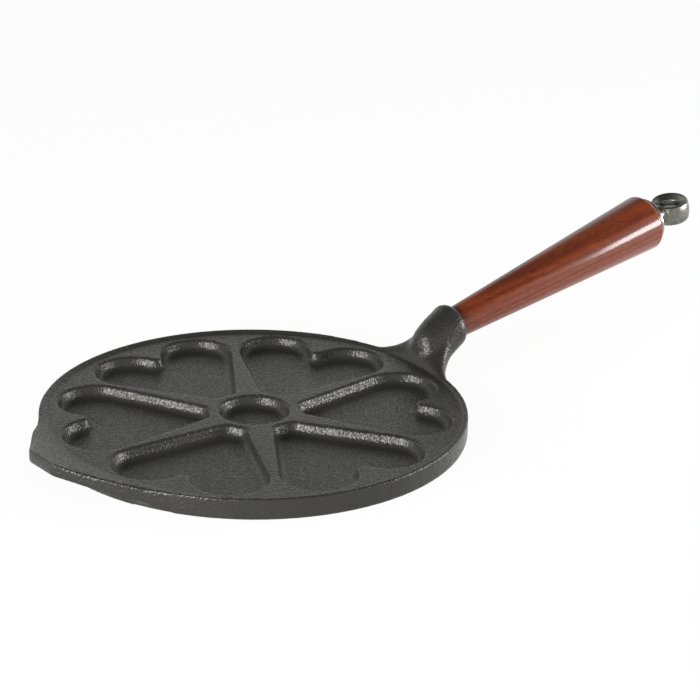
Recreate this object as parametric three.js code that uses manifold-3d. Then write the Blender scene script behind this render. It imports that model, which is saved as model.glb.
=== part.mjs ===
// Cast iron blini pan: a ring of heart wells round one round well, and a turned wooden grip on a cast neck.
// Millimetres, +Z up. The origin is the centre of the flat underside and the handle points to +X.

import * as THREE from 'three';
import { mergeVertices } from 'three/addons/utils/BufferGeometryUtils.js';
import Module from 'manifold-3d';

const wasm = await Module();
wasm.setup();

// Plate and rim
const plateRadius = 114.7;
const plateHeight = 11.7;
const plateTopEdgeRadius = 1;
const plateBottomEdgeRadius = 1.4;
const rimHeight = 1.5;
const rimTopWidth = 2.3;
const rimFilletRadius = 1.2;
const rimDraft = THREE.MathUtils.degToRad(28);

// Wells: tapering spokes of metal part the hearts, and a hub parts them from the round well
const heartCount = 6;
const wellDepth = 6.2;
const wellDraft = THREE.MathUtils.degToRad(14);
const wellEdgeRadius = 0.8;
const wellFilletRadius = 3.6;
const roundWellRadius = 19;
const hubWidth = 5.3;
const landWidth = 5.1;
const spokeInnerWidth = 13.9;
const spokeOuterWidth = 4.6;
const heartTipRadius = 6;
const heartTipFloorRadius = 3;
const lobeSpreadShare = 1.09;
const cuspDepthShare = 0.26;

// Nose: the upturned lip opposite the handle, whose straight flanks flare into the round plate
const noseReach = 19.6;
const noseFrontHalfWidth = 10.8;
const noseFlankInset = 0.95;
const noseFlareRadius = 70;
const noseCornerRadius = 8;
const noseRise = 6.5;
const noseTipThickness = 5.4;
const noseRootHeight = 6.8;
const noseRootInset = 16;

// Handle line: the axis of the socket, the grip, the tie rod and the hanging eye
const socketReach = 28;
const socketHeight = 27;
const handleRise = THREE.MathUtils.degToRad(11.5);

// Neck: a low flare that runs out of the rim into the round socket boss, and a prow that stands on it
const socketFaceRadius = 9.4;
const bossRadius = 13;
const bossEdgeLength = 4.5;
const neckRootInset = 13;
const neckRootHalfWidth = 46;
const neckRootBottomHeight = 2.5;
const neckRootTopDrop = 1;
const neckTopShares = [[0.2, 0.05], [0.38, 0.15], [0.55, 0.31], [0.7, 0.51], [0.85, 0.8]];
const neckBottomShares = [[0.3, 0.04], [0.55, 0.3], [0.78, 0.72]];
const neckWidthShares = [0.65, 0.33, 0.13, 0.03, 0];
const neckRootSquareness = 4.8;
const prowFootInset = 0.6;
const prowFootHeight = 10.5;
const prowTipHeight = 19;
const prowTipHalfWidth = 1;
const prowEndInset = 0.4;
const prowTopShares = [[0.05, 0.27], [0.18, 0.47], [0.4, 0.64], [0.7, 0.83]];
const prowWidthShares = [0.5, 0.78, 0.93, 1];

// Grip: turned wood, bored through for the tie rod
const gripLength = 157;
const gripFrontRadius = 9;
const gripFrontChamfer = 0.6;
const gripRadius = 16.9;
const gripShoulderLength = 5.5;
const gripEndRadius = 13.9;
const rodBoreClearance = 0.5;
const contactGap = 0.3;

// Tie rod, end washer and hanging eye
const rodRadius = 3;
const rodSocketDepth = 14;
const rodEyeDepth = 6;
const washerRadius = 13.8;
const washerThickness = 1;
const eyeDistance = 18.8;
const eyeRingRadius = 8.6;
const eyeBandHalfWidth = 3.15;
const eyeHalfHeight = 5.8;
const collarBaseRadius = 7;
const collarTopRadius = 5.2;

// Shared cutting and meshing values
const cutOverrun = 2;
const weldDistance = 1e-4;
const plateSegments = 96;
const roundWellSegments = 40;
const edgeSteps = 2;
const filletSteps = 4;
const shoulderSteps = 4;
const lobeSteps = 18;
const tipSteps = 4;
const noseSteps = 6;
const neckSideSteps = 24;
const neckLengthSteps = 16;
const prowSideSteps = 20;
const turnSegments = 40;
const eyeSectionSteps = 16;

// Heights and radii that several cuts share
const surfaceHeight = plateHeight - rimHeight;
const floorHeight = surfaceHeight - wellDepth;
const recessTopRadius = plateRadius - rimTopWidth;
const recessFootRadius = recessTopRadius - rimHeight * Math.tan(rimDraft);
const heartEndRadius = roundWellRadius + hubWidth;
const eyeSeat = gripLength + 2 * contactGap + washerThickness;

// Points along an arc, both ends included
function arc(centre, radius, startAngle, endAngle, steps) {
  const points = [];
  for (let i = 0; i <= steps; i += 1) {
    const angle = THREE.MathUtils.lerp(startAngle, endAngle, i / steps);
    const spoke = new THREE.Vector2(Math.cos(angle), Math.sin(angle));
    points.push(spoke.multiplyScalar(radius).add(centre));
  }
  return points;
}

function point(x, y) {
  return new THREE.Vector2(x, y);
}

// A closed body through rings of equal count, capped flat at both ends
function loft(rings, flatten) {
  const count = rings[0].length;
  const index = [];
  for (let ring = 0; ring < rings.length - 1; ring += 1) {
    for (let i = 0; i < count; i += 1) {
      const a = ring * count + i;
      const b = ring * count + (i + 1) % count;
      index.push(a, b, b + count, a, b + count, a + count);
    }
  }
  const last = (rings.length - 1) * count;
  for (const [a, b, c] of THREE.ShapeUtils.triangulateShape(rings[0].map(flatten), [])) {
    index.push(c, b, a);
  }
  for (const [a, b, c] of THREE.ShapeUtils.triangulateShape(rings.at(-1).map(flatten), [])) {
    index.push(last + a, last + b, last + c);
  }
  const geometry = new THREE.BufferGeometry().setFromPoints(rings.flat());
  geometry.setIndex(index);
  return geometry;
}

// A turned body about the Z axis from a profile of radii and heights
function turned(profile, segments) {
  return new THREE.LatheGeometry(profile, segments).rotateX(Math.PI / 2);
}

function toSolid(geometry) {
  const bare = new THREE.BufferGeometry();
  bare.setAttribute('position', geometry.getAttribute('position'));
  bare.setIndex(geometry.getIndex());
  const merged = mergeVertices(bare, weldDistance);
  const vertProperties = merged.getAttribute('position').array;
  const triVerts = Uint32Array.from(merged.getIndex().array);
  return new wasm.Manifold(new wasm.Mesh({ numProp: 3, vertProperties, triVerts }));
}

function toGeometry(solid) {
  const { vertProperties, triVerts } = solid.getMesh();
  const geometry = new THREE.BufferGeometry();
  geometry.setAttribute('position', new THREE.BufferAttribute(vertProperties, 3));
  geometry.setIndex(new THREE.BufferAttribute(triVerts, 1));
  geometry.computeVertexNormals();
  return geometry;
}

// Plate: a flat disc as high as the rim, with rounded edges
function plateDisc() {
  const bottomCentre = point(plateRadius - plateBottomEdgeRadius, plateBottomEdgeRadius);
  const topCentre = point(plateRadius - plateTopEdgeRadius, plateHeight - plateTopEdgeRadius);
  const profile = [
    point(0, 0),
    ...arc(bottomCentre, plateBottomEdgeRadius, -Math.PI / 2, 0, edgeSteps),
    ...arc(topCentre, plateTopEdgeRadius, 0, Math.PI / 2, edgeSteps),
    point(0, plateHeight),
  ];
  return turned(profile, plateSegments);
}

// Recess inside the rim, with a drafted wall that also trims the roots of the nose and the neck
function recessCutter() {
  const corner = Math.PI / 2 - rimDraft;
  const filletCentre = point(
    recessFootRadius - rimFilletRadius * Math.tan(corner / 2),
    surfaceHeight + rimFilletRadius,
  );
  const topHeight = socketHeight + bossRadius;
  const profile = [
    point(0, surfaceHeight),
    ...arc(filletCentre, rimFilletRadius, -Math.PI / 2, -rimDraft, filletSteps),
    point(recessFootRadius + (topHeight - surfaceHeight) * Math.tan(rimDraft), topHeight),
    point(0, topHeight),
  ];
  return turned(profile, plateSegments);
}

// Steps of inset and height up a well's wall: floor fillet, drafted wall, rounded edge, overrun
function wellLevels() {
  const sine = Math.sin(wellDraft);
  const cosine = Math.cos(wellDraft);
  const fillet = Math.min(wellFilletRadius, wellDepth - wellEdgeRadius);
  const filletInset = (fillet + (wellDepth - fillet) * sine) / cosine;
  const edgeInset = -wellEdgeRadius * (1 - sine) / cosine;
  const filletCentre = point(filletInset, floorHeight + fillet);
  const edgeCentre = point(edgeInset, surfaceHeight - wellEdgeRadius);
  return [
    ...arc(filletCentre, fillet, Math.PI * 1.5, Math.PI + wellDraft, filletSteps),
    ...arc(edgeCentre, wellEdgeRadius, wellDraft, Math.PI / 2, edgeSteps),
    point(edgeInset, surfaceHeight + cutOverrun),
  ];
}

function wellCutter(outline) {
  const rings = wellLevels().map((level) => (
    outline(level.x).map((p) => new THREE.Vector3(p.x, p.y, level.y))
  ));
  return loft(rings, (p) => point(p.x, p.y));
}

function roundWellOutline(inset) {
  return arc(point(0, 0), roundWellRadius - inset, 0, Math.PI * 2, roundWellSegments).slice(1);
}

// Lobes: each keeps the land to the rim and half a spoke to the next heart, and lies off the heart's axis
// by a share of its own radius. The side of the heart runs from its inner end to a tangent on the lobe.
function heartFrame() {
  const halfSector = Math.PI / heartCount;
  const reach = recessFootRadius - landWidth;
  const halfSpoke = spokeOuterWidth / 2;
  const across = reach + halfSpoke + lobeSpreadShare * reach * Math.cos(halfSector);
  const along = lobeSpreadShare * reach * Math.sin(halfSector);
  const lean = Math.asin(lobeSpreadShare * halfSpoke / Math.hypot(across, along));
  const lobeAngle = Math.atan2(along, across) - lean;
  const lobeDistance = (reach + halfSpoke) / (1 + Math.sin(halfSector - lobeAngle));
  const lobeRadius = reach - lobeDistance;
  const lobe = point(lobeDistance * Math.cos(lobeAngle), lobeDistance * Math.sin(lobeAngle));

  const endAngle = halfSector - Math.asin(spokeInnerWidth / 2 / heartEndRadius);
  const end = point(heartEndRadius * Math.cos(endAngle), heartEndRadius * Math.sin(endAngle));
  const chord = lobe.clone().sub(end);
  const sideAngle = chord.angle() + Math.asin(lobeRadius / chord.length());
  const side = point(Math.cos(sideAngle), Math.sin(sideAngle));
  const normal = point(-side.y, side.x);

  const cuspShare = (cuspDepthShare ** 2 + lobeSpreadShare ** 2 - 1) / (2 * (1 - cuspDepthShare));
  const cuspRadius = lobeRadius * cuspShare;
  const cusp = point(lobe.x + lobeRadius * cuspDepthShare + cuspRadius, 0);
  return { lobe, lobeRadius, side, normal, sideOffset: normal.dot(end), cusp, cuspRadius };
}

// Heart in its own axes: +X points out to the cusp, and the outline runs anticlockwise
function heartOutline(inset) {
  const { lobe, lobeRadius, side, normal, sideOffset, cusp, cuspRadius } = heartFrame();
  const tipRadius = Math.max(heartTipRadius - inset, heartTipFloorRadius);
  const endRadius = heartEndRadius + inset;
  const tipOffset = sideOffset - inset - tipRadius;
  const tipRun = Math.sqrt((endRadius + tipRadius) ** 2 - tipOffset ** 2);
  const tip = side.clone().multiplyScalar(tipRun).addScaledVector(normal, tipOffset);
  const sideTurn = Math.atan2(normal.y, normal.x);
  const toCusp = cusp.clone().sub(lobe);
  const cuspTurn = Math.atan2(toCusp.y, toCusp.x);
  const half = [
    ...arc(point(0, 0), endRadius, 0, tip.angle(), tipSteps),
    ...arc(tip, tipRadius, tip.angle() + Math.PI, sideTurn, tipSteps).slice(1),
    ...arc(lobe, lobeRadius - inset, sideTurn, cuspTurn, lobeSteps),
    ...arc(cusp, cuspRadius + inset, cuspTurn + Math.PI, Math.PI, tipSteps).slice(1),
  ];
  const mirrored = half.slice(1, -1).map((p) => point(p.x, -p.y));
  return [...mirrored, ...half.reverse()];
}

function heartCutter(angle) {
  return wellCutter(heartOutline).rotateZ(angle);
}

// Nose: its plan in the plane of the plate, with X counted outwards from the plate's centre
function nosePlan() {
  const frontX = plateRadius + noseReach;
  const front = point(frontX, noseFrontHalfWidth);
  const flankDistance = plateRadius - noseFlankInset;
  const flankAngle = front.angle() + Math.acos(flankDistance / front.length());
  const normal = point(Math.cos(flankAngle), Math.sin(flankAngle));
  const along = point(normal.y, -normal.x);
  const flareReach = flankDistance + noseFlareRadius;
  const flareRun = Math.sqrt((plateRadius + noseFlareRadius) ** 2 - flareReach ** 2);
  const flare = normal.clone().multiplyScalar(flareReach).addScaledVector(along, flareRun);
  const cornerX = frontX - noseCornerRadius;
  const cornerY = (flankDistance - noseCornerRadius - cornerX * normal.x) / normal.y;
  const root = flare.clone().setLength(plateRadius - noseRootInset);
  const half = [
    root,
    ...arc(flare, noseFlareRadius, flare.angle() - Math.PI, flankAngle - Math.PI, noseSteps),
    ...arc(point(cornerX, cornerY), noseCornerRadius, flankAngle, 0, noseSteps),
  ];
  const mirrored = half.map((p) => point(p.x, -p.y)).reverse();
  const shape = new THREE.Shape([...half, ...mirrored].map((p) => point(-p.x, p.y)));
  const depth = plateHeight + noseRise;
  return new THREE.ExtrudeGeometry(shape, { depth, bevelEnabled: false });
}

// Nose: its side view, extruded across, with a top that curves up and an underside that slopes up
function noseProfile() {
  const frontX = plateRadius + noseReach;
  const rootX = plateRadius / 2;
  const riseX = plateRadius - noseRootInset;
  const tipHeight = plateHeight + noseRise;
  const slope = (tipHeight - noseTipThickness - noseRootHeight) / noseReach;
  const corners = [point(-rootX, plateBottomEdgeRadius), point(-rootX, plateHeight)];
  for (let i = 0; i <= noseSteps; i += 1) {
    const share = i / noseSteps;
    corners.push(point(-THREE.MathUtils.lerp(riseX, frontX, share), plateHeight + noseRise * share ** 2));
  }
  corners.push(point(-frontX, tipHeight - noseTipThickness));
  corners.push(point(-riseX, Math.max(noseRootHeight - slope * noseRootInset, plateBottomEdgeRadius)));
  const depth = 2 * plateRadius;
  const shape = new THREE.Shape(corners);
  return new THREE.ExtrudeGeometry(shape, { depth, bevelEnabled: false })
    .translate(0, 0, -plateRadius)
    .rotateX(Math.PI / 2);
}

function nose() {
  return toSolid(nosePlan()).intersect(toSolid(noseProfile()));
}

// Neck: point in the plane of the handle, at a distance along its axis from the socket face and across it
function onHandle(distance, offset) {
  const axis = point(Math.cos(handleRise), Math.sin(handleRise));
  const upright = point(-axis.y, axis.x);
  return point(plateRadius + socketReach, socketHeight)
    .addScaledVector(axis, distance)
    .addScaledVector(upright, offset);
}

// Points between two ends, each placed by its share of the run and of the rise
function between(start, end, shares) {
  return shares.map(([run, rise]) => (
    point(THREE.MathUtils.lerp(start.x, end.x, run), THREE.MathUtils.lerp(start.y, end.y, rise))
  ));
}

// Neck: guide lines along its crown and its underside
function neckGuides() {
  const rootX = plateRadius - neckRootInset;
  const topEnd = onHandle(-bossEdgeLength, bossRadius);
  const bottomEnd = onHandle(-bossEdgeLength, -bossRadius);
  const topStart = point(rootX, plateHeight - neckRootTopDrop);
  const bottomStart = point(rootX, neckRootBottomHeight);
  const topPoints = [topStart, ...between(topStart, topEnd, neckTopShares), topEnd];
  const bottomPoints = [bottomStart, ...between(bottomStart, bottomEnd, neckBottomShares), bottomEnd];
  return { top: new THREE.SplineCurve(topPoints), bottom: new THREE.SplineCurve(bottomPoints) };
}

// Half-widths at even steps of a run, each placed by its share between two sizes
function widthCurve(start, end, shares) {
  return new THREE.SplineCurve(shares.map((share, i) => (
    point(i / (shares.length - 1), THREE.MathUtils.lerp(start, end, share))
  )));
}

// Ring of a section: an oval that is squarer at the neck's root and round at the boss
function neckRing(top, bottom, halfWidth, squareness) {
  const middle = top.clone().add(bottom).multiplyScalar(0.5);
  const reach = top.clone().sub(middle);
  const ring = [];
  for (let i = 0; i < neckSideSteps; i += 1) {
    const angle = (i / neckSideSteps) * Math.PI * 2;
    const across = Math.sign(Math.cos(angle)) * Math.abs(Math.cos(angle)) ** (2 / squareness);
    const upward = Math.sign(Math.sin(angle)) * Math.abs(Math.sin(angle)) ** (2 / squareness);
    const height = middle.clone().addScaledVector(reach, upward);
    ring.push(new THREE.Vector3(height.x, halfWidth * across, height.y));
  }
  return ring;
}

// Prow: the steep front of the neck, arched across and closed below inside the flare
function prowRing(top, base, halfWidth) {
  return arc(point(0, 0), 1, 0, Math.PI, prowSideSteps).map((turn) => {
    const height = base.clone().lerp(top, Math.max(turn.y, 0));
    return new THREE.Vector3(height.x, halfWidth * turn.x, height.y);
  });
}

function prow() {
  const endRadius = bossRadius - prowEndInset;
  const topStart = point(plateRadius - prowFootInset, prowTipHeight);
  const topEnd = onHandle(-bossEdgeLength, endRadius);
  const baseStart = point(plateRadius - prowFootInset, prowFootHeight);
  const baseEnd = onHandle(-bossEdgeLength, 0);
  const top = new THREE.SplineCurve([topStart, ...between(topStart, topEnd, prowTopShares), topEnd]);
  const widths = widthCurve(prowTipHalfWidth, endRadius, [0, ...prowWidthShares, 1]);
  const rings = [];
  for (let i = 0; i <= neckLengthSteps; i += 1) {
    const share = i / neckLengthSteps;
    const crown = top.getPoint(share);
    const run = (crown.x - topStart.x) / (topEnd.x - topStart.x);
    rings.push(prowRing(crown, baseStart.clone().lerp(baseEnd, run), widths.getPoint(share).y));
  }
  return loft(rings, (p) => point(p.y, p.z));
}

function neck() {
  const { top, bottom } = neckGuides();
  const widths = widthCurve(bossRadius, neckRootHalfWidth, [1, ...neckWidthShares, 0]);
  const rings = [];
  for (let i = 0; i <= neckLengthSteps; i += 1) {
    const share = i / neckLengthSteps;
    const squareness = THREE.MathUtils.lerp(neckRootSquareness, 2, share);
    rings.push(neckRing(top.getPoint(share), bottom.getPoint(share), widths.getPoint(share).y, squareness));
  }
  for (const turn of arc(point(0, 0), 1, Math.PI / 2, 0, shoulderSteps).slice(1)) {
    const radius = THREE.MathUtils.lerp(socketFaceRadius, bossRadius, turn.y);
    const distance = bossEdgeLength * (turn.x - 1);
    rings.push(neckRing(onHandle(distance, radius), onHandle(distance, -radius), radius, 2));
  }
  return loft(rings, (p) => point(p.y, p.z));
}

// Places a piece built along +Z on the handle line, at a distance behind the socket face
const handleLine = new THREE.Group();
handleLine.position.set(plateRadius + socketReach, 0, socketHeight);
handleLine.rotation.y = Math.PI / 2 - handleRise;
handleLine.updateMatrixWorld();

function rodSocketCutter() {
  const radius = rodRadius + contactGap;
  return new THREE.CylinderGeometry(radius, radius, rodSocketDepth + cutOverrun, turnSegments)
    .rotateX(Math.PI / 2)
    .translate(0, 0, (cutOverrun - rodSocketDepth) / 2)
    .applyMatrix4(handleLine.matrixWorld);
}

function panCasting() {
  let casting = toSolid(plateDisc()).add(nose()).add(toSolid(neck()));
  casting = casting.subtract(toSolid(recessCutter())).add(toSolid(prow()));
  casting = casting.subtract(toSolid(wellCutter(roundWellOutline)));
  for (let i = 0; i < heartCount; i += 1) {
    casting = casting.subtract(toSolid(heartCutter(((i + 0.5) / heartCount) * Math.PI * 2)));
  }
  return toGeometry(casting.subtract(toSolid(rodSocketCutter())));
}

function woodenGrip() {
  const bore = rodRadius + rodBoreClearance;
  const shoulder = arc(point(0, 0), 1, 0, Math.PI / 2, shoulderSteps).map((turn) => point(
    THREE.MathUtils.lerp(gripEndRadius, gripRadius, turn.x),
    gripLength - gripShoulderLength * (1 - turn.y),
  ));
  const profile = [
    point(bore, contactGap),
    point(gripFrontRadius - gripFrontChamfer, contactGap),
    point(gripFrontRadius, contactGap + gripFrontChamfer),
    ...shoulder,
    point(bore, gripLength),
    point(bore, contactGap),
  ];
  return turned(profile, turnSegments);
}

function endWasher() {
  const bore = rodRadius + rodBoreClearance;
  const front = gripLength + contactGap;
  const back = front + washerThickness;
  const profile = [
    point(bore, front),
    point(washerRadius, front),
    point(washerRadius, back),
    point(bore, back),
    point(bore, front),
  ];
  return turned(profile, turnSegments);
}

function tieRod() {
  const start = contactGap - rodSocketDepth;
  const end = eyeSeat + rodEyeDepth - contactGap;
  const profile = [point(0, start), point(rodRadius, start), point(rodRadius, end), point(0, end)];
  return turned(profile, turnSegments);
}

// Eye: a fat ring whose hole flares at both faces, on a short cone that screws onto the tie rod
function hangingEye() {
  const centre = eyeSeat + eyeDistance;
  const section = [];
  for (let i = 0; i <= eyeSectionSteps; i += 1) {
    const angle = (i / eyeSectionSteps) * Math.PI * 2;
    const across = eyeRingRadius + eyeBandHalfWidth * Math.cos(angle);
    section.push(point(across, eyeHalfHeight * Math.sin(angle)));
  }
  const ring = turned(section, turnSegments).rotateY(Math.PI / 2).translate(0, 0, centre);
  const collarLength = centre - eyeRingRadius - eyeSeat;
  const collar = turned([
    point(0, eyeSeat),
    point(collarBaseRadius, eyeSeat),
    point(collarTopRadius, eyeSeat + collarLength),
    point(0, eyeSeat + collarLength),
  ], turnSegments);
  const tapRadius = rodRadius + contactGap;
  const tap = turned([
    point(0, eyeSeat - cutOverrun),
    point(tapRadius, eyeSeat - cutOverrun),
    point(tapRadius, eyeSeat + rodEyeDepth),
    point(0, eyeSeat + rodEyeDepth),
  ], turnSegments);
  return toGeometry(toSolid(ring).add(toSolid(collar)).subtract(toSolid(tap)));
}

function named(name, geometry, color, roughness, metalness) {
  const material = new THREE.MeshStandardMaterial({ color, roughness, metalness });
  const mesh = new THREE.Mesh(geometry, material);
  mesh.name = name;
  return mesh;
}

handleLine.add(
  named('wooden_grip', woodenGrip(), 0x7a2f1c, 0.3, 0),
  named('end_washer', endWasher(), 0x8c8a86, 0.35, 1),
  named('tie_rod', tieRod(), 0x9a9a98, 0.4, 1),
  named('hanging_eye', hangingEye(), 0x6f716f, 0.35, 1),
);

const pan = new THREE.Group();
pan.add(named('pan_casting', panCasting(), 0x4a4a48, 0.5, 1), handleLine);

export default pan;
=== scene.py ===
# Looks of a cast iron blini pan: sand-cast iron with six heart wells round a round one, a stained
# and lacquered beech grip, a steel washer and a cast hanging eye.
# Metres, +Z up, the handle points to +X, the underside is z = 0.

import math

import bmesh
import bpy
from mathutils import Matrix, Vector


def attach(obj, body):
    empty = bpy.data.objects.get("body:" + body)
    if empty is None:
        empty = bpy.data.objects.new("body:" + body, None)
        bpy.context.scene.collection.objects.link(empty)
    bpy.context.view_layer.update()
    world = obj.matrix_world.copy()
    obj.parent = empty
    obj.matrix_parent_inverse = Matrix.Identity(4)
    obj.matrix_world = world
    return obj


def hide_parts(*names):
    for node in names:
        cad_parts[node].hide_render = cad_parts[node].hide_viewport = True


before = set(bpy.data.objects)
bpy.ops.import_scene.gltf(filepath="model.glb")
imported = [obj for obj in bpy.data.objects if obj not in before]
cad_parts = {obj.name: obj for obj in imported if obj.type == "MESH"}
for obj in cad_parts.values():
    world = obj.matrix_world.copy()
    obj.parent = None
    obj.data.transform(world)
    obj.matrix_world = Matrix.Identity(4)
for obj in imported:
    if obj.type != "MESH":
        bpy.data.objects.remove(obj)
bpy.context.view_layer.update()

MM = 0.001

# Sizes of the solids in mm
PLATE_RADIUS = 114.7
PLATE_HEIGHT = 11.7
NOSE_TOP_START = 98.7
NOSE_TOP_LENGTH = 35.6
NOSE_TOP_RISE = 6.5
NOSE_ROOT_HEIGHT = 6.8
NOSE_BOTTOM_SLOPE = 0.306
BORE_RADIUS = 3.5

# The nose stands out from the plate's edge past this x
NOSE_SIDE = -80

# Z of the handle's own frame runs from the socket's face along the middle of the grip
HANDLE_RISE = math.radians(11.5)
SOCKET_FACE = Vector((142.7, 0, 27)) * MM
HANDLE_LINE = Matrix.Translation(SOCKET_FACE) @ Matrix.Rotation(math.pi / 2 - HANDLE_RISE, 4, "Y")

ANY = (-math.inf, math.inf)

# The Mix node's sockets go by number, because their names repeat
SHARE, VALUE_A, VALUE_B, COLOUR_A, COLOUR_B = 0, 2, 3, 6, 7
VALUE_RESULT, COLOUR_RESULT = 0, 2

# Width in metres of a Wave texture's band at a scale of 1
WAVE_BAND = 0.314


def finished_piece(name, bm, node, material):
    """Makes the mesh a smooth-shaded piece that stands for its node and rides with it."""
    mesh = bpy.data.meshes.new(name)
    bm.to_mesh(mesh)
    bm.free()
    mesh.shade_smooth()
    piece = bpy.data.objects.new(name, mesh)
    bpy.context.scene.collection.objects.link(piece)
    mesh.materials.append(material)
    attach(piece, "root")
    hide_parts(node)


def node_copy(node):
    """Copies a node's mesh and merges its loose triangles."""
    bm = bmesh.new()
    bm.from_mesh(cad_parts[node].data)
    bmesh.ops.remove_doubles(bm, verts=bm.verts, dist=0.01 * MM)
    return bm


def modified(bm, kind, **settings):
    """Returns the mesh with one modifier applied."""
    mesh = bpy.data.meshes.new("blank")
    bm.to_mesh(mesh)
    bm.free()
    blank = bpy.data.objects.new("blank", mesh)
    bpy.context.scene.collection.objects.link(blank)
    modifier = blank.modifiers.new(kind, kind)
    for name, value in settings.items():
        setattr(modifier, name, value)
    result = bmesh.new()
    result.from_object(blank, bpy.context.evaluated_depsgraph_get())
    bpy.data.objects.remove(blank)
    bpy.data.meshes.remove(mesh)
    return result


def within(x=ANY, side=math.inf, height=ANY, reach=ANY):
    """Makes a test of a point in mm: by its x, its distance from the plane that halves the pan, its
    height and its distance from the plate's middle."""
    return lambda p: (
        x[0] < p.x < x[1] and abs(p.y) < side and height[0] < p.z < height[1]
        and reach[0] < math.hypot(p.x, p.y) < reach[1]
    )


def smooth(bm, verts, passes):
    for _ in range(passes):
        bmesh.ops.smooth_vert(
            bm, verts=verts, factor=0.5, use_axis_x=True, use_axis_y=True, use_axis_z=True
        )


def soften(bm, inside, passes):
    """Rounds the stretch of casting where inside(point in mm) holds, as a filleted pattern does."""
    smooth(bm, [v for v in bm.verts if inside(v.co / MM)], passes)


def turned(profile, rounded, steps=160, place=HANDLE_LINE):
    """Spins a closed outline of (radius, distance) in mm about the line of its place. For the index
    of a corner, rounded gives its bevel's width in mm and its segments."""
    bm = bmesh.new()
    corners = [bm.verts.new((radius * MM, 0, along * MM)) for radius, along in profile]
    for start, end in zip(corners, corners[1:] + corners[:1]):
        bm.edges.new((start, end))
    for index, (width, segments) in rounded.items():
        bmesh.ops.bevel(
            bm, geom=[corners[index]], offset=width * MM, offset_type="OFFSET", segments=segments,
            profile=0.5, affect="VERTICES", material=-1,
        )
    bmesh.ops.spin(
        bm, geom=list(bm.verts) + list(bm.edges), cent=(0, 0, 0), axis=(0, 0, 1),
        angle=math.tau, steps=steps, use_merge=True,
    )
    bmesh.ops.recalc_face_normals(bm, faces=bm.faces)
    bm.transform(place)
    return bm


# Colours and materials


def srgb(hex_colour):
    """An sRGB hex value as linear red, green, blue and alpha."""
    channels = [int(hex_colour[i:i + 2], 16) / 255 for i in (1, 3, 5)]
    return [c / 12.92 if c <= 0.04045 else ((c + 0.055) / 1.055) ** 2.4 for c in channels] + [1]


def add(tree, kind, inputs=None, links=None, **settings):
    """Adds a node, sets its properties and input values, and links outputs into its inputs."""
    node = tree.nodes.new(kind)
    for name, value in settings.items():
        setattr(node, name, value)
    for socket, value in (inputs or {}).items():
        node.inputs[socket].default_value = value
    for socket, output in (links or {}).items():
        tree.links.new(output, node.inputs[socket])
    return node


def blank_material(name):
    material = bpy.data.materials.new(name)
    material.use_nodes = True
    material.node_tree.nodes.clear()
    return material, material.node_tree


def seasoned_cast_iron():
    """Sand-cast iron under baked oil: near black, with a low sheen that a sandy grain breaks up."""
    material, tree = blank_material("seasoned_cast_iron")
    place = add(tree, "ShaderNodeTexCoord").outputs["Object"]
    # Sand grains are about 0.4 mm, drawn at 1.5 mm so that they show
    grain = add(
        tree, "ShaderNodeTexNoise", {"Scale": 1 / (1.5 * MM), "Detail": 1, "Roughness": 0.7},
        {"Vector": place},
    ).outputs["Fac"]
    # Oil and firing leave clouds about 16 mm across
    cloud = add(
        tree, "ShaderNodeTexNoise", {"Scale": 1 / (16 * MM), "Detail": 4, "Roughness": 0.6},
        {"Vector": place},
    ).outputs["Fac"]
    tone = add(
        tree, "ShaderNodeMix", {COLOUR_A: srgb("#373736"), COLOUR_B: srgb("#41403e")},
        {SHARE: cloud}, data_type="RGBA",
    )
    gloss = add(
        tree, "ShaderNodeMapRange",
        {"From Min": 0.3, "From Max": 0.7, "To Min": 0.22, "To Max": 0.42}, {"Value": grain},
    )
    bump = add(
        tree, "ShaderNodeBump", {"Strength": 1, "Distance": 0.42 * MM}, {"Height": grain},
    )
    shader = add(
        tree, "ShaderNodeBsdfPrincipled", {"Metallic": 0.5, "Specular IOR Level": 0.25},
        {
            "Base Color": tone.outputs[COLOUR_RESULT], "Roughness": gloss.outputs["Result"],
            "Normal": bump.outputs["Normal"],
        },
    )
    add(tree, "ShaderNodeOutputMaterial", links={"Surface": shader.outputs["BSDF"]})
    return material


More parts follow.
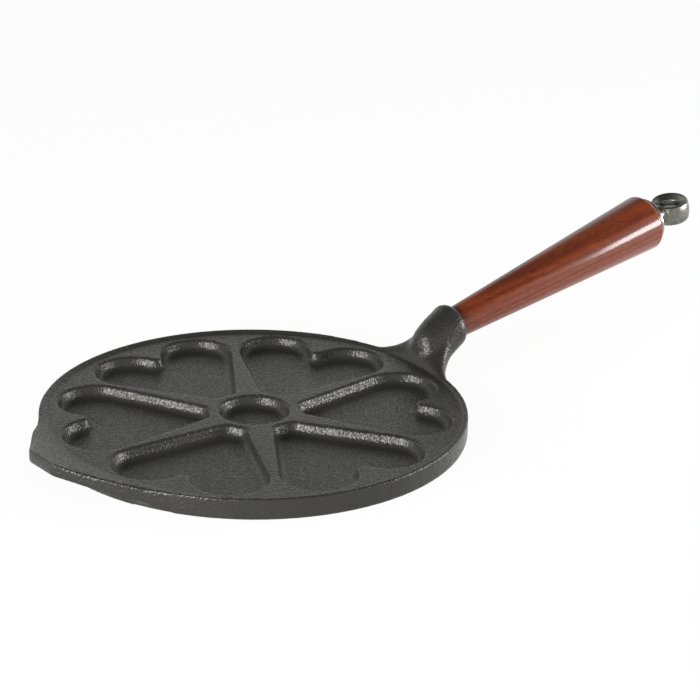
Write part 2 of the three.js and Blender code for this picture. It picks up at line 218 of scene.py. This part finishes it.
def stained_beech():
    """Beech turned smooth, stained red-brown and lacquered: soft figure under a glossy coat."""
    material, tree = blank_material("stained_beech")
    place = add(tree, "ShaderNodeTexCoord").outputs["Object"]
    # Centred on the socket's face, then turned so that Z runs along the grip
    centred = add(
        tree, "ShaderNodeMapping", {"Location": -SOCKET_FACE}, {"Vector": place},
        vector_type="POINT",
    )
    along = add(
        tree, "ShaderNodeMapping", {"Rotation": (0, HANDLE_RISE - math.pi / 2, 0)},
        {"Vector": centred.outputs["Vector"]}, vector_type="POINT",
    ).outputs["Vector"]
    # Growth rings bend through the grip as figure 14 mm across and seven times as long
    ring_space = add(
        tree, "ShaderNodeMapping", {"Scale": (1, 1, 0.14)}, {"Vector": along},
    ).outputs["Vector"]
    figure = add(
        tree, "ShaderNodeTexNoise",
        {"Scale": 1 / (14 * MM), "Detail": 5, "Roughness": 0.6, "Distortion": 1.2},
        {"Vector": ring_space},
    )
    # The rings themselves are 2 to 4 mm apart, drawn as wavering bands of 4 mm
    rings = add(
        tree, "ShaderNodeTexWave",
        {"Scale": WAVE_BAND / (4 * MM), "Distortion": 7, "Detail": 2, "Detail Scale": 0.8},
        {"Vector": ring_space}, wave_type="BANDS", bands_direction="X",
    )
    streak = add(
        tree, "ShaderNodeMix", {SHARE: 0.35},
        {VALUE_A: figure.outputs["Fac"], VALUE_B: rings.outputs["Fac"]}, data_type="FLOAT",
    )
    # Pores and ray flecks are 0.3 mm wide and about 3 mm long, drawn 0.9 mm wide and 4 mm long
    fleck_space = add(tree, "ShaderNodeMapping", {"Scale": (1, 1, 0.22)}, {"Vector": along})
    fleck = add(
        tree, "ShaderNodeTexNoise", {"Scale": 1 / (0.9 * MM), "Detail": 2, "Roughness": 0.5},
        {"Vector": fleck_space.outputs["Vector"]},
    )
    tone = add(
        tree, "ShaderNodeMix", {COLOUR_A: srgb("#411507"), COLOUR_B: srgb("#813817")},
        {SHARE: streak.outputs[VALUE_RESULT]}, data_type="RGBA",
    )
    shade = add(
        tree, "ShaderNodeMapRange",
        {"From Min": 0.3, "From Max": 0.7, "To Min": 0.7, "To Max": 1.2},
        {"Value": fleck.outputs["Fac"]},
    )
    wood = add(
        tree, "ShaderNodeMix", {SHARE: 1},
        {COLOUR_A: tone.outputs[COLOUR_RESULT], COLOUR_B: shade.outputs["Result"]},
        data_type="RGBA", blend_type="MULTIPLY",
    )
    shader = add(
        tree, "ShaderNodeBsdfPrincipled",
        {"Roughness": 0.5, "Specular IOR Level": 0.1, "Coat Weight": 0.8, "Coat Roughness": 0.17},
        {"Base Color": wood.outputs[COLOUR_RESULT]},
    )
    add(tree, "ShaderNodeOutputMaterial", links={"Surface": shader.outputs["BSDF"]})
    return material


def bright_metal(name, low, high, roughness, grain_mm, relief_mm):
    """Bare metal whose tone and relief follow a grain of a given size."""
    material, tree = blank_material(name)
    place = add(tree, "ShaderNodeTexCoord").outputs["Object"]
    grain = add(
        tree, "ShaderNodeTexNoise", {"Scale": 1 / (grain_mm * MM), "Detail": 3}, {"Vector": place},
    ).outputs["Fac"]
    tone = add(
        tree, "ShaderNodeMix", {COLOUR_A: srgb(low), COLOUR_B: srgb(high)}, {SHARE: grain},
        data_type="RGBA",
    )
    bump = add(
        tree, "ShaderNodeBump", {"Strength": 0.5, "Distance": relief_mm * MM}, {"Height": grain},
    )
    shader = add(
        tree, "ShaderNodeBsdfPrincipled", {"Metallic": 1, "Roughness": roughness},
        {"Base Color": tone.outputs[COLOUR_RESULT], "Normal": bump.outputs["Normal"]},
    )
    add(tree, "ShaderNodeOutputMaterial", links={"Surface": shader.outputs["BSDF"]})
    return material


def looked_at(tree):
    """Gives 1 to the camera, reflections and glass, and 0 to light on its way to the object."""
    path = add(tree, "ShaderNodeLightPath").outputs
    looked = path["Is Camera Ray"]
    for ray in ("Is Glossy Ray", "Is Transmission Ray"):
        looked = add(
            tree, "ShaderNodeMath", links={0: looked, 1: path[ray]}, operation="MAXIMUM",
        ).outputs["Value"]
    return looked


def pale_floor():
    """White table top: nearly white by itself, with a matt share that keeps a soft shadow."""
    material, tree = blank_material("pale_floor")
    whiteness = 0.93
    white_share = add(
        tree, "ShaderNodeMath", {1: whiteness}, {0: looked_at(tree)}, operation="MULTIPLY",
    )
    matt = add(tree, "ShaderNodeBsdfDiffuse", {"Color": srgb("#fcfcfc")})
    white = add(tree, "ShaderNodeEmission", {"Color": (1, 1, 1, 1), "Strength": 1})
    both = add(
        tree, "ShaderNodeMixShader",
        links={
            0: white_share.outputs["Value"], 1: matt.outputs["BSDF"], 2: white.outputs["Emission"],
        },
    )
    add(tree, "ShaderNodeOutputMaterial", links={"Surface": both.outputs["Shader"]})
    return material


# Pieces


def fill_out_nose(bm):
    """Thickens the nose's lip and rounds its flanks outward, fading in from the plate's edge."""
    fade_start, fade_length = 113, 8
    thickening = 0.32
    # The flanks are fullest 20 degrees either side of the nose's tip
    flank_turn, flank_spread, flank_fullness = 20, 17, 1.3
    for vert in bm.verts:
        x, y, z = vert.co / MM
        reach = math.hypot(x, y)
        if x > NOSE_SIDE or reach < fade_start:
            continue
        faded = min((reach - fade_start) / fade_length, 1)
        # Eased at both ends, so that the fade leaves no crease
        share = faded * faded * (3 - 2 * faded)
        top = PLATE_HEIGHT + NOSE_TOP_RISE * max((-x - NOSE_TOP_START) / NOSE_TOP_LENGTH, 0) ** 2
        bottom = NOSE_ROOT_HEIGHT + NOSE_BOTTOM_SLOPE * (-x - PLATE_RADIUS)
        lift = (z - (top + bottom) / 2) * thickening * share
        off_flank = abs(math.degrees(math.atan2(abs(y), -x)) - flank_turn)
        bulge = max(1 - (off_flank / flank_spread) ** 2, 0) ** 2 * share
        outward = Vector((x, y, 0)).normalized()
        vert.co += (outward * bulge * flank_fullness + Vector((0, 0, lift))) * MM


def level_nose(bm):
    """Clears the steps that the voxels leave on the nose's gentle slopes, between its edges."""
    # Faces that lean less than 37 degrees from level, outside the wells
    gentle, outside = 0.8, 110
    bm.normal_update()
    slopes = [
        v for v in bm.verts
        if abs(v.normal.z) > gentle and v.co.x < NOSE_SIDE * MM
        and math.hypot(v.co.x, v.co.y) > outside * MM
    ]
    smooth(bm, slopes, passes=24)


def pan_casting():
    """Plate, wells, nose and neck as one pour, with the soft corners that sand leaves."""
    bm = modified(node_copy("pan_casting"), "REMESH", mode="VOXEL", voxel_size=0.6 * MM)
    soften(bm, within(), passes=2)
    # The wells and the face between them
    soften(bm, within(reach=(-math.inf, 109)), passes=16)
    # The foot of the neck's top, where it climbs from the rim
    soften(bm, within(x=(104, 132), side=30, height=(10.8, 30)), passes=50)
    # The neck's root flows out of the rim, most of all in its middle
    for share in (1.0, 0.75, 0.5):
        root = within(
            x=(96, PLATE_RADIUS + 12 * share), side=55 * share,
            height=(10.6, math.inf), reach=(110.5, math.inf),
        )
        soften(bm, root, passes=8)
    # The rim runs into the nose's top
    nose_root = within(
        x=(-math.inf, -90), side=52, height=(9.6, math.inf), reach=(108.5, 116.5),
    )
    soften(bm, nose_root, passes=10)
    # The nose's own edges
    nose_edges = within(
        x=(-math.inf, -88), side=66, height=(1, math.inf), reach=(113.2, math.inf),
    )
    soften(bm, nose_edges, passes=6)
    # The inner corners between the nose's flanks and the plate
    corner_x, corner_side, corner_reach = -103, 52, 11
    soften(
        bm, lambda p: math.hypot(p.x - corner_x, abs(p.y) - corner_side) < corner_reach,
        passes=16,
    )
    fill_out_nose(bm)
    level_nose(bm)
    # Brings the piece under 200,000 triangles
    bm = modified(bm, "DECIMATE", ratio=0.29)
    finished_piece("cast_pan", bm, "pan_casting", seasoned_cast_iron())


def wooden_grip():
    """Tapered grip whose butt has a straight chamfer, bored for the tie rod."""
    front, front_radius = 0.3, 9
    widest, widest_radius = 153.4, 16.88
    butt, butt_radius = 157, 13.9
    profile = [
        (BORE_RADIUS, front), (front_radius, front), (widest_radius, widest),
        (butt_radius, butt), (BORE_RADIUS, butt),
    ]
    bm = turned(profile, {1: (0.5, 3), 2: (0.9, 5), 3: (0.5, 3)})
    finished_piece("turned_grip", bm, "wooden_grip", stained_beech())


def end_washer():
    """Thin washer between the grip's butt and the eye's cone."""
    radius, front, back = 13.8, 157.3, 158.3
    profile = [(BORE_RADIUS, front), (radius, front), (radius, back), (BORE_RADIUS, back)]
    bm = turned(profile, {1: (0.2, 2), 2: (0.3, 3)})
    # Sheet off the rolls has a pale, even sheen. Its marks are finer than 0.1 mm, drawn at 1.5 mm
    metal = bright_metal(
        "rolled_steel", "#a5a39e", "#c6c4be", roughness=0.25, grain_mm=1.5, relief_mm=0.01,
    )
    finished_piece("butt_washer", bm, "end_washer", metal)


def hanging_eye():
    """Cast eye: a barrel-sided ring, countersunk at both faces, that runs softly into its cone."""
    # Half of the ring's outline as radius and height, from its outer side round to its hole
    half = [(11.72, 0), (11.6, 2.8), (11.1, 5.2), (10.2, 6.2), (9.2, 6.0), (6.4, 3.2), (5.2, 0)]
    outline = half + [(radius, -height) for radius, height in half[-2:0:-1]]
    below_line, from_socket = 0.8, 177.4
    ring_place = (
        HANDLE_LINE @ Matrix.Translation((below_line * MM, 0, from_socket * MM))
        @ Matrix.Rotation(math.pi / 2, 4, "Y")
    )
    bm = turned(outline, {}, steps=96, place=ring_place)
    # The cone has a blind hole for the rod, and the remesh closes the pinhole along its middle
    pinhole, hole_radius, foot_radius, top_radius = 0.01, 3.3, 7, 5.4
    foot, hole_end, top = 158.6, 164.6, 168.8
    profile = [
        (pinhole, hole_end), (hole_radius, hole_end), (hole_radius, foot), (foot_radius, foot),
        (top_radius, top), (pinhole, top),
    ]
    cone = turned(profile, {})
    both = bpy.data.meshes.new("both")
    cone.to_mesh(both)
    cone.free()
    bm.from_mesh(both)
    bpy.data.meshes.remove(both)
    bm = modified(bm, "REMESH", mode="VOXEL", voxel_size=0.22 * MM)
    soften(bm, within(), passes=8)
    # Tumbled castings keep hollows about 2.6 mm wide, which break broad highlights into patches
    metal = bright_metal(
        "cast_bright_metal", "#50504c", "#92918a", roughness=0.3, grain_mm=2.6, relief_mm=0.45,
    )
    finished_piece("cast_eye", bm, "hanging_eye", metal)


pan_casting()
wooden_grip()
end_washer()
hanging_eye()

# Drawn bar is smooth and even. Its marks are finer than 0.1 mm, drawn at 1 mm
rod_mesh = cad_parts["tie_rod"].data
rod_mesh.materials.clear()
rod_mesh.materials.append(
    bright_metal(
        "drawn_steel", "#8a8a88", "#a3a3a0", roughness=0.3, grain_mm=1.0, relief_mm=0.01,
    )
)


# Floor, lamps, world and camera


def towards(turn, rise, reach):
    """Vector of a given length, turned from +X and raised above the floor by angles in degrees."""
    turn, rise = math.radians(turn), math.radians(rise)
    return reach * Vector(
        (math.cos(rise) * math.cos(turn), math.cos(rise) * math.sin(turn), math.sin(rise))
    )


def lamp(name, aim, offset, width, height, power):
    """Soft box at an offset from the point that it faces."""
    light = bpy.data.lights.new(name, "AREA")
    light.shape = "RECTANGLE"
    light.size = width
    light.size_y = height
    light.energy = power
    holder = bpy.data.objects.new(name, light)
    bpy.context.scene.collection.objects.link(holder)
    place = aim + offset
    holder.location = place
    holder.rotation_mode = "QUATERNION"
    holder.rotation_quaternion = (aim - place).to_track_quat("-Z", "Y")


bm = bmesh.new()
bmesh.ops.create_grid(bm, x_segments=1, y_segments=1, size=12)
floor_mesh = bpy.data.meshes.new("floor")
bm.to_mesh(floor_mesh)
bm.free()
floor_mesh.materials.append(pale_floor())
floor = bpy.data.objects.new("floor", floor_mesh)
bpy.context.scene.collection.objects.link(floor)

plate = Vector((0, 0, 0.01))
grip_butt = Vector((0.28, 0, 0.055))
lamp("left_panel", plate, towards(turn=188, rise=16, reach=1.5), width=0.95, height=0.45, power=31)
lamp(
    "right_panel", grip_butt, towards(turn=-43, rise=10, reach=0.72), width=0.5, height=0.2, power=7
)

world = bpy.data.worlds.new("studio")
bpy.context.scene.world = world
world.use_nodes = True
sky = world.node_tree
sky.nodes.clear()
direction = add(sky, "ShaderNodeTexCoord").outputs["Generated"]
heading = add(sky, "ShaderNodeSeparateXYZ", links={"Vector": direction})
# What is looked at, from the horizon up: white, a grey band, pale walls and a dark ceiling
backdrop = add(sky, "ShaderNodeValToRGB", links={"Fac": heading.outputs["Z"]})
walls = backdrop.color_ramp.elements
walls.remove(walls[1])
for rise, grey in ((0.07, 0.7), (0.3, 0.98), (0.45, 0.9), (0.68, 0.1)):
    walls.new(rise).color = (grey, grey, grey, 1)
walls[0].color = (1, 1, 1, 1)
# Soft light falls mostly from the camera's side
fill = add(
    sky, "ShaderNodeMapRange", {"From Min": -1, "From Max": 1, "To Min": 0.75, "To Max": 0.15},
    {"Value": heading.outputs["Y"]},
)
brightness = add(
    sky, "ShaderNodeMix",
    links={
        SHARE: looked_at(sky), VALUE_A: fill.outputs["Result"], VALUE_B: backdrop.outputs["Color"],
    },
    data_type="FLOAT",
)
white = add(
    sky, "ShaderNodeBackground", {"Color": (1, 1, 1, 1)},
    {"Strength": brightness.outputs[VALUE_RESULT]},
)
add(sky, "ShaderNodeOutputWorld", links={"Surface": white.outputs["Background"]})

# The camera is fitted to the rim's circle, the well floors and the handle's outline
camera_place = (-0.69481, -0.91066, 0.50558)
camera_aim = Vector((0.11191, 0.0551, 0))
camera_roll = math.radians(1.367)
camera = bpy.data.objects.new("camera", bpy.data.cameras.new("camera"))
bpy.context.scene.collection.objects.link(camera)
bpy.context.scene.camera = camera
camera.data.sensor_width = 36
camera.data.lens = 119.68
camera.location = camera_place
look = camera_aim - camera.location
camera.matrix_world = (
    Matrix.Translation(camera.location)
    @ look.to_track_quat("-Z", "Y").to_matrix().to_4x4()
    @ Matrix.Rotation(camera_roll, 4, "Z")
)
bpy.context.scene.view_settings.view_transform = "Standard"
